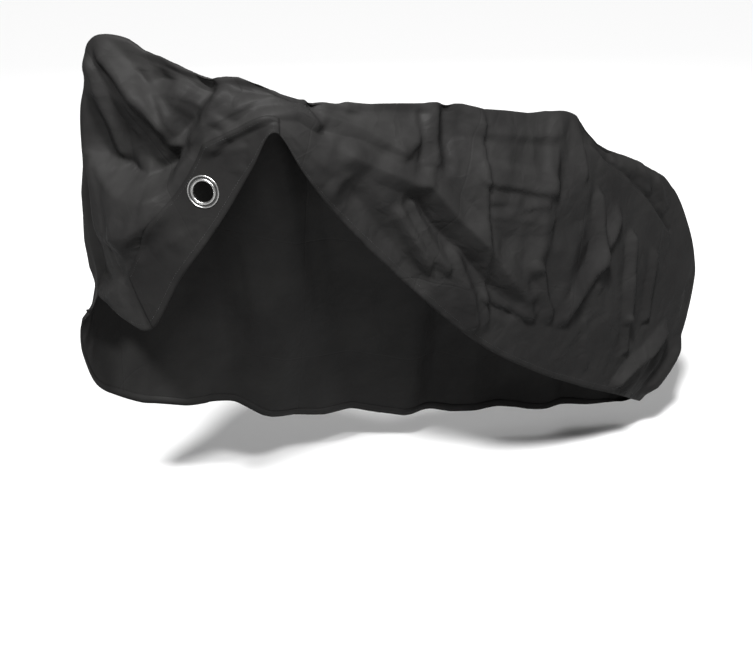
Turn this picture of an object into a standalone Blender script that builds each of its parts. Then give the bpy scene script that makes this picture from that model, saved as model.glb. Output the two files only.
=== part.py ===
"""Bicycle cover, draped over a leaning bicycle with its near hem lifted.

A thin one-piece shell of cloth, the doubled band sewn along its lifted hem, and the metal
eyelet with its washer set in that band. The bicycle itself is not part of the model.

Frame: +X runs from the nose to the tail of the cover, -Y is the side whose hem is lifted, +Z is
up. The origin is the underside of the cloth over the saddle, which carries the cover. The tables
give heights above the ground, in millimetres, and to_frame() moves them to the origin.
"""
import math
from collections import namedtuple

import bpy
import bmesh
import numpy as np
from mathutils import Matrix, Vector

MM = 0.001

# ---- driving dimensions, metres ----------------------------------------------------------------
CLOTH = 0.0020             # thickness of the cloth
BAND_CLOTH = 0.0024        # thickness of the doubled band
SEAM_GAP = 0.0009          # clearance between the cloth and the band laid on it
BAND_WIDTH = 0.110         # from the band's free hem to its seam
BAND_OVERLAP = 0.008       # how far the cloth runs in under the band's seam
BAND_START = 2.2           # the band's lower end, as a rib number
BAND_END = 7.0             # the band's upper end, at the apex of the opening
CREST = 0.07               # rounding of the ridge, as a share of a rib's side
SADDLE = (0.282, -0.160, 0.888)    # origin of the frame, from the ground under the bicycle

BAND_LIFT = CLOTH / 2 + SEAM_GAP + BAND_CLOTH / 2    # from the cloth's middle to the band's

# ---- the grid of the cloth -----------------------------------------------------------------------
COLUMN = 0.034             # widest step along the cover
NEAR_ROWS = 13             # from the ridge to the band's seam
BAND_ROWS = 4              # from under the seam to the free hem
FAR_ROWS = 14              # from the ridge to the far hem
SEAM_HIGHEST = 0.62        # bounds of the seam's place on a rib's near side
SEAM_LOWEST = 0.86
SEAM_MARGIN = 0.04

# ---- the eyelet -----------------------------------------------------------------------------------
EYELET_RIB = 4.63          # where it sits: rib number
EYELET_SEAM = 0.045        # and distance from the band's seam to its middle
BORE_RADIUS = 0.0185
NECK_WALL = 0.0014
NECK_GAP = 0.0004
FLANGE_RADIUS = 0.0290
WASHER_RADIUS = 0.0250
FLANGE_THICK = 0.0016
FLANGE_ROLL = 0.0008       # how far the flange's middle swells over its rim
SEAT_GAP = 0.0003
STIFF_RADIUS = 0.052       # the cloth is held flat by the eyelet inside this radius
STIFF_BLEND = 0.030        # and eases back to its drape over this width
ROUND_STEPS = 40

Rib = namedtuple("Rib", "name ridge near_belly near_hem far_belly far_hem")
RIBS = [
    Rib("nose hem", (-560, 48, 580), (-557, 34, 577), (-552, 20, 574), (-566, 60, 563), (-573, 74, 545)),
    Rib("nose low", (-556, 48, 674), (-556, 0, 618), (-540, -45, 566), (-560, 82, 585), (-584, 102, 488)),
    Rib("nose middle", (-560, 50, 829), (-544, -42, 700), (-512, -115, 572), (-548, 96, 620), (-580, 114, 425)),
    Rib("nose top", (-558, 47, 960), (-526, -72, 815), (-470, -160, 680), (-535, 106, 640), (-548, 122, 340)),
    Rib("peak", (-547, 22, 1066), (-485, -105, 915), (-430, -188, 752), (-498, 98, 660), (-475, 126, 290)),
    Rib("bar end", (-490, -30, 1070), (-447, -140, 945), (-395, -208, 815), (-445, 80, 640), (-380, 130, 262)),
    Rib("bar", (-421, -120, 1030), (-392, -195, 970), (-360, -235, 895), (-355, 30, 620), (-288, 130, 238)),
    Rib("stem", (-325, -220, 1019), (-329, -248, 990), (-331, -260, 958), (-250, -20, 580), (-190, 145, 185)),
    Rib("stem rear", (-227, -215, 980), (-252, -250, 930), (-270, -245, 870), (-150, -20, 550), (-80, 160, 142)),
    Rib("tube front", (-62, -200, 957), (-125, -236, 865), (-185, -222, 760), (0, -10, 520), (60, 158, 112)),
    Rib("tube rear", (110, -185, 930), (45, -228, 765), (-24, -202, 588), (155, 0, 500), (200, 148, 85)),
    Rib("saddle", (282, -160, 890), (215, -222, 660), (146, -190, 428), (330, 10, 470), (360, 120, 62)),
    Rib("saddle rear", (368, -149, 865), (352, -206, 590), (300, -172, 323), (460, 10, 430), (490, 95, 50)),
    Rib("wheel top", (563, -100, 731), (520, -160, 490), (430, -150, 248), (600, 10, 380), (580, 78, 43)),
    Rib("wheel rear", (735, -60, 605), (655, -120, 400), (530, -128, 195), (735, 10, 310), (640, 60, 40)),
    Rib("tail high", (822, -50, 430), (735, -96, 285), (600, -110, 158), (790, 5, 220), (685, 45, 40)),
    Rib("tail low", (812, -50, 258), (745, -78, 185), (655, -85, 123), (785, 0, 140), (715, 25, 48)),
    Rib("tail hem", (738, -50, 118), (716, -60, 107), (695, -65, 98), (733, -30, 94), (722, -12, 72)),
]

# A fold runs along a path of (rib, drop) points; drop is the share of the rib's side, positive on
# the near side and negative on the far side. Its flanks reach out to its width and fall off
# hollow from a crest that is rounded by its edge, all in millimetres. A trough's height is negative.
Fold = namedtuple("Fold", "name path width height edge")
FOLDS = [
    # the nose, where the cloth hangs from the far end of the handlebar
    Fold("ridge from the peak", [(4.06, 0.14), (4.18, 0.3), (4.3, 0.53)], 58, 20, 3),
    Fold("second ridge to the pocket", [(4.75, 0.12), (4.6, 0.24), (4.35, 0.5)], 40, -14, 3),
    Fold("nose edge ridge", [(3.6, 0.16), (3.3, 0.24), (2.95, 0.32), (2.5, 0.56)], 48, 17, 4),
    Fold("nose edge trough", [(3.6, 0.04), (3.15, 0.13), (2.7, 0.22), (2.2, 0.34)], 34, -9, 8),
    Fold("light facet ridge", [(3.1, 0.5), (2.75, 0.55), (2.4, 0.62)], 40, 9, 4),
    Fold("hollow under the peak", [(3.85, 0.28), (3.7, 0.44), (3.55, 0.6)], 70, -34, 16),
    Fold("pleat over the band", [(3.5, 0.47), (4.0, 0.6), (4.35, 0.69)], 36, -12, 3),
    Fold("pocket bottom", [(4.4, 0.55), (4.7, 0.6)], 30, -10, 5),
    Fold("pillow of the pocket", [(5.0, 0.26), (4.75, 0.42)], 56, 16, 10),
    Fold("pocket right ridge", [(6.15, 0.26), (5.6, 0.46), (5.0, 0.58)], 40, 18, 3),
    Fold("pocket right trough", [(5.95, 0.22), (5.25, 0.42), (4.55, 0.53)], 34, -18, 3),
    Fold("tuck under the bar", [(5.1, 0.2), (5.6, 0.19), (6.1, 0.2)], 30, -13, 3),
    Fold("bar lobe one", [(4.75, 0.03), (4.95, 0.12)], 40, 7, 8),
    Fold("bar lobe two", [(5.6, 0.05), (5.8, 0.13)], 36, 8, 8),
    Fold("bar lobe three", [(6.35, 0.08), (6.45, 0.28)], 36, 8, 6),
    Fold("dip between lobes", [(5.25, -0.04), (5.3, 0.14)], 34, -9, 6),
    # bunched cloth over the stem
    Fold("roll over the opening", [(5.95, 0.62), (6.75, 0.58), (7.4, 0.36), (7.95, 0.36)], 30, 16, 5),
    Fold("crease above the roll", [(6.1, 0.46), (6.7, 0.38), (7.3, 0.14)], 26, -9, 3),
    Fold("second roll", [(6.5, 0.28), (7.2, 0.06), (7.7, 0.1)], 28, 7, 5),
    Fold("nip behind the stem", [(7.8, 0.02), (8.05, 0.24)], 34, -12, 3),
    # the side between stem and saddle
    Fold("front trough", [(9.27, 0.02), (9.35, 0.2), (9.45, 0.4)], 36, -9, 4),
    Fold("rear trough", [(9.6, 0.0), (9.68, 0.16), (9.78, 0.36)], 30, -10, 3),
    Fold("swell between troughs", [(9.45, 0.04), (9.6, 0.36)], 34, 5, 6),
    Fold("collar of folds", [(8.3, 0.06), (8.7, 0.22), (9.1, 0.36)], 46, 9, 4),
    Fold("collar of folds two", [(8.75, 0.03), (9.0, 0.16), (9.2, 0.26)], 34, -7, 3),
    Fold("sling fold", [(8.5, 0.36), (9.2, 0.44), (9.8, 0.44)], 44, 10, 3),
    Fold("collar trough", [(8.15, 0.12), (8.5, 0.34), (8.9, 0.52)], 40, -9, 8),
    Fold("long diagonal trough", [(9.5, 0.52), (9.9, 0.6), (10.4, 0.68), (11.3, 0.745)], 60, -26, 8),
    Fold("ridge beside the diagonal", [(9.9, 0.46), (10.5, 0.59), (11.25, 0.705)], 46, 13, 3),
    Fold("ridge under the diagonal", [(9.85, 0.66), (10.3, 0.74), (11.0, 0.82), (11.5, 0.8)], 44, 13, 4),
    Fold("fan ridge one", [(8.9, 0.57), (9.35, 0.64), (9.83, 0.82)], 42, 14, 3),
    Fold("fan ridge two", [(9.55, 0.66), (10.1, 0.8), (10.75, 0.93)], 44, 14, 3),
    Fold("fan trough", [(9.3, 0.7), (9.75, 0.86)], 34, -12, 3),
    Fold("valley by the hem", [(8.6, 0.72), (9.1, 0.8), (9.6, 0.88), (10.1, 0.94)], 54, -15, 14),
    Fold("ridge over the hem", [(10.7, 0.87), (11.1, 0.86), (11.45, 0.8)], 36, 9, 3),
    Fold("upright crease", [(10.05, 0.02), (10.3, 0.33), (10.47, 0.58)], 34, -10, 2),
    Fold("upright crease shoulder", [(9.95, 0.12), (10.15, 0.36), (10.3, 0.54)], 56, 11, 4),
    Fold("crumple under the ridge", [(10.4, 0.2), (11.25, 0.14)], 36, 5, 3),
    Fold("crumple upper", [(10.5, 0.36), (10.8, 0.33), (11.1, 0.26)], 34, 6, 3),
    Fold("crumple middle", [(10.55, 0.43), (10.85, 0.37), (11.12, 0.35)], 28, -6, 2),
    Fold("crumple lower", [(10.45, 0.48), (10.9, 0.45), (11.15, 0.4)], 30, 5, 3),
    Fold("zigzag", [(11.3, 0.06), (11.36, 0.2), (11.13, 0.31), (11.3, 0.5), (11.15, 0.6)], 36, -11, 2),
    Fold("zigzag shoulder", [(11.5, 0.24), (11.4, 0.4), (11.6, 0.52)], 44, 9, 5),
    # over the saddle and the rear wheel
    Fold("saddle nose", [(11.5, 0.06), (11.75, 0.05)], 44, 8, 8),
    Fold("saddle to wheel ridge", [(11.95, 0.03), (12.4, 0.1), (13.3, 0.16), (13.95, 0.2)], 50, 15, 4),
    Fold("dip behind the saddle", [(12.25, 0.0), (12.6, 0.0)], 60, -22, 16),
    Fold("slack over the wheel", [(12.9, 0.05), (13.5, 0.08)], 40, -8, 10),
    Fold("wheel crumple one", [(13.05, 0.0), (13.2, 0.1)], 26, 6, 3),
    Fold("wheel crumple two", [(13.45, 0.0), (13.6, 0.12)], 26, -6, 3),
    Fold("wheel crumple three", [(13.85, 0.0), (14.05, 0.16)], 28, 7, 3),
    Fold("rear upright one", [(12.25, 0.24), (12.4, 0.47), (12.55, 0.62)], 40, 5, 2),
    Fold("rear upright two", [(13.07, 0.32), (13.25, 0.5), (13.4, 0.64), (13.85, 0.79)], 40, 6, 2),
    Fold("rear upright three", [(13.6, 0.34), (13.93, 0.6)], 36, 5, 3),
    Fold("trough between uprights", [(12.75, 0.3), (13.0, 0.62)], 46, -10, 12),
    Fold("lower rear upright", [(12.5, 0.7), (12.9, 0.9)], 34, 7, 3),
    Fold("leaning ridge", [(12.35, 0.52), (12.05, 0.75)], 38, 11, 3),
    Fold("leaning ridge two", [(11.35, 0.57), (11.6, 0.68), (11.77, 0.78)], 36, 10, 3),
    Fold("low hollow", [(11.9, 0.8), (12.4, 0.78)], 50, -9, 16),
    Fold("tail ridge", [(14.7, 0.56), (14.6, 0.73), (14.4, 0.84), (14.2, 0.95)], 44, 12, 3),
    Fold("tail trough", [(15.1, 0.4), (15.0, 0.7)], 44, -10, 12),
    # the far side, which hangs in slow folds between the bar, the saddle and the hem
    Fold("far fold one", [(3.5, -0.1), (3.7, -0.6), (3.5, -0.99)], 66, 15, 10),
    Fold("far trough one", [(4.4, -0.12), (4.9, -0.6), (5.1, -0.99)], 64, -16, 16),
    Fold("far fold two", [(5.7, -0.06), (6.1, -0.5), (6.4, -0.99)], 70, 19, 8),
    Fold("far trough two", [(7.0, -0.15), (7.4, -0.6), (7.2, -0.99)], 74, -17, 18),
    Fold("far fold three", [(7.9, -0.04), (8.4, -0.45), (8.9, -0.99)], 70, 18, 8),
    Fold("far trough three", [(9.0, -0.1), (9.6, -0.55), (9.9, -0.99)], 70, -18, 16),
    Fold("far fold four", [(10.2, -0.12), (10.3, -0.6), (10.2, -0.99)], 64, 15, 8),
    Fold("far fold five", [(11.2, -0.04), (11.1, -0.5), (11.4, -0.99)], 66, 16, 7),
    Fold("far trough four", [(11.8, -0.1), (12.1, -0.6), (12.3, -0.97)], 66, -16, 16),
    Fold("far slant", [(9.9, -0.1), (11.0, -0.34), (12.4, -0.5)], 54, 11, 6),
    Fold("far slant two", [(7.6, -0.06), (8.8, -0.24), (10.4, -0.3)], 50, 10, 6),
    Fold("far fold six", [(13.0, -0.1), (12.9, -0.5), (13.0, -0.95)], 62, 14, 8),
    Fold("far trough five", [(13.8, -0.15), (13.8, -0.8)], 60, -11, 14),
    Fold("far fold seven", [(14.6, -0.2), (14.7, -0.9)], 50, 11, 8),
]


def to_frame(point_mm):
    """A table point, from millimetres over the ground to metres in the part's frame."""
    return [value * MM - shift for value, shift in zip(point_mm, SADDLE)]


def column(name):
    """One column of the rib table as an array of points."""
    return np.array([to_frame(getattr(rib, name)) for rib in RIBS])


def along(points, rib):
    """Points of a smooth curve through a column of the table, at the given rib numbers."""
    last = len(points) - 1
    low = np.clip(np.floor(rib).astype(int), 0, last - 1)
    f = (rib - low)[..., None]
    before = points[np.clip(low - 1, 0, last)]
    here = points[low]
    there = points[low + 1]
    after = points[np.clip(low + 2, 0, last)]
    slope_in = (there - before) / 2
    slope_out = (after - here) / 2
    return (here * (2 * f**3 - 3 * f**2 + 1) + there * (3 * f**2 - 2 * f**3)
            + slope_in * (f**3 - 2 * f**2 + f) + slope_out * (f**3 - f**2))


def side(ridge, belly, hem, drop):
    """One side of a rib: the parabola from the ridge through the belly to the hem."""
    t = drop[..., None]
    return ridge * (1 - t) * (1 - 2 * t) + belly * 4 * t * (1 - t) + hem * t * (2 * t - 1)


def smooth(x):
    x = np.clip(x, 0, 1)
    return x * x * (3 - 2 * x)


def drape(rib, drop):
    """The smooth draped surface, before its folds."""
    ridge = along(column("ridge"), rib)
    near = side(ridge, along(column("near_belly"), rib), along(column("near_hem"), rib), drop)
    far = side(ridge, along(column("far_belly"), rib), along(column("far_hem"), rib), -drop)
    share = smooth((drop + CREST) / (2 * CREST))[..., None]
    return near * share + far * (1 - share)


def outward(rib, drop):
    """Unit normals of the draped surface, pointing out of the cover."""
    step = 0.02
    last = len(RIBS) - 1
    along_rib = drape(np.clip(rib + step, 0, last), drop) - drape(np.clip(rib - step, 0, last), drop)
    along_drop = drape(rib, drop + step) - drape(rib, drop - step)
    normal = np.cross(along_drop, along_rib)
    return normal / np.linalg.norm(normal, axis=-1, keepdims=True)


def distance_to_path(points, path):
    """Distance from each point to a polyline."""
    best = np.full(points.shape[:-1], 10.0)
    for start, end in zip(path[:-1], path[1:]):
        run = end - start
        share = np.clip(((points - start) @ run) / max(run @ run, 1e-9), 0, 1)
        best = np.minimum(best, np.linalg.norm(points - start - share[..., None] * run, axis=-1))
    return best


def fold_height(fold, points, drop):
    """How far one fold lifts each point of the draped surface, in metres."""
    ribs, drops = np.array(fold.path).T
    path = drape(ribs, drops)
    run = np.hypot(distance_to_path(points, path), fold.edge * MM)
    flank = np.clip(1 - run / (fold.width * MM), 0, 1)
    facing = smooth(0.5 + drop * np.sign(drops.sum()) / CREST)
    return fold.height * MM * flank**2 * facing


def folded(rib, drop):
    """The draped surface with its folds."""
    points = drape(rib, drop)
    height = sum(fold_height(fold, points, drop) for fold in FOLDS)
    return points + outward(rib, drop) * height[..., None]


def eyelet_frame():
    """Centre and outward direction of the eyelet, on the middle of the band's cloth."""
    rib = np.array([EYELET_RIB])
    seam, length = seam_drop(rib)
    drop = seam + EYELET_SEAM / length
    normal = outward(rib, drop)[0]
    return folded(rib, drop)[0] + normal * BAND_LIFT, normal


def stiffened(points, lift):
    """Points near the eyelet are pressed flat, onto a plane that lies lower by the lift."""
    centre, normal = eyelet_frame()
    offset = points - centre
    across = offset @ normal
    radius = np.linalg.norm(offset - across[..., None] * normal, axis=-1)
    share = 1 - smooth((radius - STIFF_RADIUS) / STIFF_BLEND)
    share *= np.abs(across) < STIFF_RADIUS
    return points - normal * (share * (across + lift))[..., None]


def rib_numbers():
    """Where the grid's columns stand: even steps inside each gap between two ribs."""
    numbers = []
    belly, ridge = column("near_belly"), column("ridge")
    for i in range(len(RIBS) - 1):
        gap = max(np.linalg.norm(belly[i + 1] - belly[i]), np.linalg.norm(ridge[i + 1] - ridge[i]))
        steps = max(3, math.ceil(gap / COLUMN))
        numbers += [i + k / steps for k in range(steps)]
    return np.array(numbers + [len(RIBS) - 1])


def seam_drop(ribs):
    """Where the band's seam runs, as a share of each rib's near side, and that side's length."""
    drops = np.linspace(0, 1, 21)
    rib, drop = np.meshgrid(ribs, drops, indexing="ij")
    length = np.linalg.norm(np.diff(drape(rib, drop), axis=1), axis=-1).sum(axis=1)
    return np.clip(1 - BAND_WIDTH / length, SEAM_HIGHEST, SEAM_LOWEST), length


def near_grid(ribs):
    """Rib and drop of the near side's grid; row NEAR_ROWS is the band's seam."""
    seam, length = seam_drop(ribs)
    rows = [seam * k / NEAR_ROWS for k in range(NEAR_ROWS + 1)]
    tuck = np.minimum(seam + BAND_OVERLAP / length, 1 - 2 * SEAM_MARGIN)
    rows += [tuck + (1 - tuck) * k / BAND_ROWS for k in range(BAND_ROWS + 1)]
    drop = np.stack(rows, axis=1)
    return np.broadcast_to(ribs[:, None], drop.shape), drop


def mesh_object(name, points, faces, collection):
    mesh = bpy.data.meshes.new(name)
    mesh.from_pydata([tuple(p) for p in points], [], faces)
    mesh.validate()
    shape = bmesh.new()
    shape.from_mesh(mesh)
    loose = [v for v in shape.verts if not v.link_faces]
    bmesh.ops.delete(shape, geom=loose, context="VERTS")
    shape.to_mesh(mesh)
    shape.free()
    mesh.shade_smooth()
    obj = bpy.data.objects.new(name, mesh)
    collection.objects.link(obj)
    return obj


def grid_faces(columns, rows, keep):
    """Quads of a grid of points, where keep(column, row) says which cells are cloth."""
    faces = []
    for i in range(columns - 1):
        for j in range(rows - 1):
            if keep(i, j):
                a = i * rows + j
                faces.append((a, a + 1, a + rows + 1, a + rows))
    return faces


def thicken(obj, thickness):
    """Gives a sheet its thickness, half to each side."""
    solidify = obj.modifiers.new("Cloth thickness", "SOLIDIFY")
    solidify.thickness = thickness
    solidify.offset = 0
    return solidify


def material(name, colour, roughness, metallic=0.0):
    """A Principled material."""
    mat = bpy.data.materials.new(name)
    mat.use_nodes = True
    shader = mat.node_tree.nodes["Principled BSDF"]
    shader.inputs["Base Color"].default_value = (*colour, 1)
    shader.inputs["Roughness"].default_value = roughness
    shader.inputs["Metallic"].default_value = metallic
    return mat


def make_cloth(collection):
    """The cover's cloth: both sides in one piece, notched where the band is sewn on."""
    ribs = rib_numbers()
    rib, drop = near_grid(ribs)
    far_drop = np.broadcast_to(-np.arange(FAR_ROWS, 0, -1) / FAR_ROWS, (len(ribs), FAR_ROWS))
    rib = np.concatenate([np.broadcast_to(ribs[:, None], far_drop.shape), rib], axis=1)
    drop = np.concatenate([far_drop, drop], axis=1)
    points = stiffened(folded(rib, drop), BAND_LIFT)
    notch_row = FAR_ROWS + NEAR_ROWS + 1

    def is_cloth(i, j):
        return not (j >= notch_row and BAND_START < ribs[i] and ribs[i + 1] < BAND_END)

    faces = grid_faces(len(ribs), drop.shape[1], is_cloth)
    cloth = mesh_object("cover", points.reshape(-1, 3), faces, collection)
    thicken(cloth, CLOTH)
    cloth.data.materials.append(material("charcoal polyester", (0.035, 0.034, 0.034), 0.55))
    return cloth


def make_band(collection, cutters):
    """The doubled band along the lifted hem, lapped over the cloth and punched for the eyelet."""
    ribs = rib_numbers()
    rib, drop = near_grid(ribs)
    first = np.searchsorted(ribs, BAND_START) - 1
    last = np.searchsorted(ribs, BAND_END) + 1
    rib, drop = rib[first:last, NEAR_ROWS:], drop[first:last, NEAR_ROWS:]
    points = folded(rib, drop) + outward(rib, drop) * BAND_LIFT
    points = stiffened(points, 0.0)
    faces = grid_faces(*drop.shape, lambda i, j: True)
    band = mesh_object("hem_band", points.reshape(-1, 3), faces, collection)
    thicken(band, BAND_CLOTH)
    centre, normal = eyelet_frame()
    bpy.ops.mesh.primitive_cylinder_add(vertices=ROUND_STEPS, radius=BORE_RADIUS + NECK_WALL + NECK_GAP,
                                        depth=0.04, location=centre)
    punch = bpy.context.object
    punch.name = "eyelet_punch"
    punch.rotation_euler = Vector(normal).to_track_quat("Z", "Y").to_euler()
    punch.hide_render = True
    punch.display_type = "WIRE"
    move_to(punch, cutters)
    hole = band.modifiers.new("Eyelet hole", "BOOLEAN")
    hole.operation = "DIFFERENCE"
    hole.solver = "EXACT"
    hole.object = punch
    band.data.materials.append(material("charcoal webbing", (0.045, 0.044, 0.044), 0.6))
    return band


def move_to(obj, collection):
    for other in list(obj.users_collection):
        other.objects.unlink(obj)
    collection.objects.link(obj)


def turned(name, profile, collection, mat):
    """A turned ring: a closed profile of (radius, height) points around the eyelet's axis."""
    count = len(profile)
    points = [(radius, 0, height) for radius, height in profile]
    mesh = bpy.data.meshes.new(name)
    mesh.from_pydata(points, [(i, (i + 1) % count) for i in range(count)], [])
    ring = bpy.data.objects.new(name, mesh)
    collection.objects.link(ring)
    screw = ring.modifiers.new("Turn", "SCREW")
    screw.steps = ROUND_STEPS
    screw.render_steps = ROUND_STEPS
    screw.use_merge_vertices = True
    screw.merge_threshold = 0.00005
    screw.use_normal_calculate = True
    centre, normal = eyelet_frame()
    ring.location = centre
    ring.rotation_euler = Vector(normal).to_track_quat("Z", "Y").to_euler()
    mesh.materials.append(mat)
    return ring


def make_eyelet(collection):
    """The eyelet: a rolled face flange on the band and a neck through it, and its washer behind."""
    steel = material("nickel plate", (0.75, 0.75, 0.74), 0.18, 1.0)
    seat = BAND_CLOTH / 2 + SEAT_GAP
    neck = BORE_RADIUS + NECK_WALL
    back = -seat - FLANGE_THICK
    face = [
        (FLANGE_RADIUS, seat + FLANGE_THICK * 0.35),
        (FLANGE_RADIUS - 0.0008, seat),
        (neck, seat),
        (neck, back),
        (BORE_RADIUS, back),
        (BORE_RADIUS, seat + FLANGE_THICK * 0.5),
        (BORE_RADIUS + 0.0010, seat + FLANGE_THICK + FLANGE_ROLL * 0.5),
        ((BORE_RADIUS + FLANGE_RADIUS) / 2, seat + FLANGE_THICK + FLANGE_ROLL),
        (FLANGE_RADIUS - 0.0016, seat + FLANGE_THICK),
    ]
    turned("eyelet", face, collection, steel)
    washer = [
        (WASHER_RADIUS, -seat),
        (WASHER_RADIUS, back + 0.0004),
        (WASHER_RADIUS - 0.0006, back),
        (neck + SEAT_GAP, back),
        (neck + SEAT_GAP, -seat),
    ]
    turned("eyelet_washer", washer, collection, steel)


def clear_scene():
    for obj in list(bpy.data.objects):
        bpy.data.objects.remove(obj)


def new_collection(name):
    collection = bpy.data.collections.new(name)
    bpy.context.scene.collection.children.link(collection)
    return collection


def main():
    clear_scene()
    parts = new_collection("Bicycle cover")
    cutters = new_collection("Cutters")
    make_cloth(parts)
    make_band(parts, cutters)
    make_eyelet(parts)


main()
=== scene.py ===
"""The looks of the draped bicycle cover: cloth, hem band, stitching and eyelet, in a plain studio.

The frame's origin is the underside of the cloth over the saddle. +X runs from nose to tail, -Y is
the side whose hem is lifted and +Z is up. The tables give heights above the ground, in
millimetres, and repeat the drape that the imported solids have.
"""
import math
from collections import namedtuple

import bpy
import numpy as np
from mathutils import Matrix, Vector
from mathutils.geometry import delaunay_2d_cdt


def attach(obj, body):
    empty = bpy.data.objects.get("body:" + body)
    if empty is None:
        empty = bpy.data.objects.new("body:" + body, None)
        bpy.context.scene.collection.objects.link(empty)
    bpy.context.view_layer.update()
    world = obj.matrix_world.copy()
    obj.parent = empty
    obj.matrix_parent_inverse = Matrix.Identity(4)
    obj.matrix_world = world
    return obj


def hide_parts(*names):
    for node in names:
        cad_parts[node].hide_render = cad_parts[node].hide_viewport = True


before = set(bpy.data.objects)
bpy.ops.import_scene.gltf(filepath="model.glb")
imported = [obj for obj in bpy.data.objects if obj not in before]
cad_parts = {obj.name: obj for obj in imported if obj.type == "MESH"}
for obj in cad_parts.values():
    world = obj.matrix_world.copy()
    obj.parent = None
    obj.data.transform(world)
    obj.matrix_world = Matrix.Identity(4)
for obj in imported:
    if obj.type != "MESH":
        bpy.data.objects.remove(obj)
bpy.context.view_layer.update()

MM = 0.001
SADDLE = (0.282, -0.160, 0.888)    # the frame's origin, from the ground under the bicycle

# ---- shapes of the drape and its folds ---------------------------------------------------------
CREST = 0.07                # rounding of the ridge, as a share of a rib's side
FLANK = 1.1                 # how hollow a fold's flanks are: 1 is a flat facet
END_TURN = 1.4              # how widely a fold's two reaches blend beyond its ends
NORMAL_STEP = 0.02          # step along ribs and drops over which a normal is measured

# ---- cloth, metres -----------------------------------------------------------------------------
CLOTH = 0.0020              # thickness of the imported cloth, which sets where the band lies
SHOWN_CLOTH = 0.0012
BAND_CLOTH = 0.0024
SEAM_GAP = 0.0009
BAND_LIFT = CLOTH / 2 + SEAM_GAP + BAND_CLOTH / 2
BAND_WIDTH = 0.110
BAND_OVERLAP = 0.008
BAND_START = 2.2            # the ribs between which the band runs
BAND_END = 7.0
BAND_PAST = 3               # columns that the band runs on past those ribs
SEAM_HIGHEST = 0.62         # limits of the band's seam, as shares of a rib's near side
SEAM_LOWEST = 0.86
SEAM_MARGIN = 0.04
SEAM_STEPS = 20             # steps in which the length of a rib's side is measured
COLUMN = 0.0070             # step of the grid along the cover
NEAR_ROWS = 72              # rows from the ridge to the band's seam, on the near side
BAND_ROWS = 15              # rows from the seam to the hem
FAR_ROWS = 38               # rows down the far side, which hangs in slow folds

# ---- crumpling: flat facets between creases, metres --------------------------------------------
# The facets' spacing along the cover, how much longer they are down its side, and their height.
Crumple = namedtuple("Crumple", "spacing stretch height seed")
CRUMPLES = [
    Crumple(0.105, 1.5, 0.0095, 3),
    Crumple(0.050, 1.4, 0.0056, 8),
    Crumple(0.024, 1.3, 0.0010, 5),
]
FACET_SCATTER = 0.48        # how far a facet's corner strays, as a share of the spacing
CRUMPLE_FADE = 0.12         # drop over which the crumpling fades, by the ridge, hems and band
RIDGE_CRUMPLE = 0.12        # shares of the crumpling that are left there
HEM_CRUMPLE = 0.30
BAND_CALM = 0.55            # how much of the crumpling the band takes away
BAND_CALM_START = 0.70      # drop at which that begins
FAR_CRUMPLE = 0.40
SAME_CORNER = 1e-6          # facets' corners that are nearer to each other are one
TINY = 1e-9                 # keeps divisions safe and the facets' edges inside them

# How far the ridge stands above the smooth line of the ribs, from nose to tail, as (rib,
# millimetres): the line breaks sharply behind the saddle, where the ribs alone would round it.
RIDGE_LIFTS = [
    (4.9, 0), (5.2, -9), (5.5, 0), (6.0, 3), (6.3, 0), (6.6, 8), (6.85, 3), (7.2, -7), (7.6, -6),
    (7.8, 0), (9.8, 0), (10.1, -9), (10.7, -8), (11.0, 0), (12.0, 2), (12.2, -8), (12.42, -17),
    (12.7, -9), (13.05, -4), (13.3, 0), (13.6, 6), (13.9, 8), (14.4, 0),
]
RIDGE_FADE = 0.16           # drop at which the lifts end, on both sides

# ---- hems and stitches, metres -----------------------------------------------------------------
HEM_TURN = 0.0009           # thickness of the turned hem behind the cloth
HEM_GAP = 0.0001
STITCH_STEP = 0.0052
STITCH_LENGTH = 0.0036
STITCH_WIDTH = 0.0008
STITCH_HEIGHT = 0.0004
STITCH_ROOT = 0.0003        # how deep a stitch sits in the cloth
STITCH_TIP = 0.35           # width and height of a stitch's ends, as a share of its middle
BAND_STITCH_COLUMNS = (3, -4)
BAND_STITCH_ROWS = (1, -3)

# ---- eyelet, metres ----------------------------------------------------------------------------
EYELET_RIB = 4.63
EYELET_SEAM = 0.045         # from the band's seam down to the eyelet's centre
BORE_RADIUS = 0.0185
NECK_WALL = 0.0014
NECK_GAP = 0.0004
FLANGE_RADIUS = 0.0290
FLANGE_THICK = 0.0016
FLANGE_UNDERCUT = 0.0012
SEAT_GAP = 0.0003
STIFF_RADIUS = 0.052        # the cloth is flat this far round the eyelet
STIFF_BLEND = 0.030
WASHER_RADIUS = 0.0250
RING_STEPS = 128
ARC = [math.radians(a) for a in range(0, 181, 20)]
SHARP_ANGLE = math.radians(38)
# A bead is half a turn of rolled metal: half its width, and its base and rise above the seat.
Bead = namedtuple("Bead", "half base rise")
RIM = Bead(0.0014, 0.0008, 0.0016)
LIP = Bead(0.0022, 0.0010, 0.0019)
GROOVE_FLOOR = 0.0004
GROOVE_SIDES = (0.0002, 0.0004)    # from the rim's bead and from the lip's
NECK_CHAMFER = (0.0005, 0.0008)    # across and along the bore
NECK_FOOT = 0.0004
WASHER_ROLL = (0.0006, 0.0008)     # across and along
PUNCH_DEPTH = 0.04
PUNCH_STEPS = 96

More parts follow.
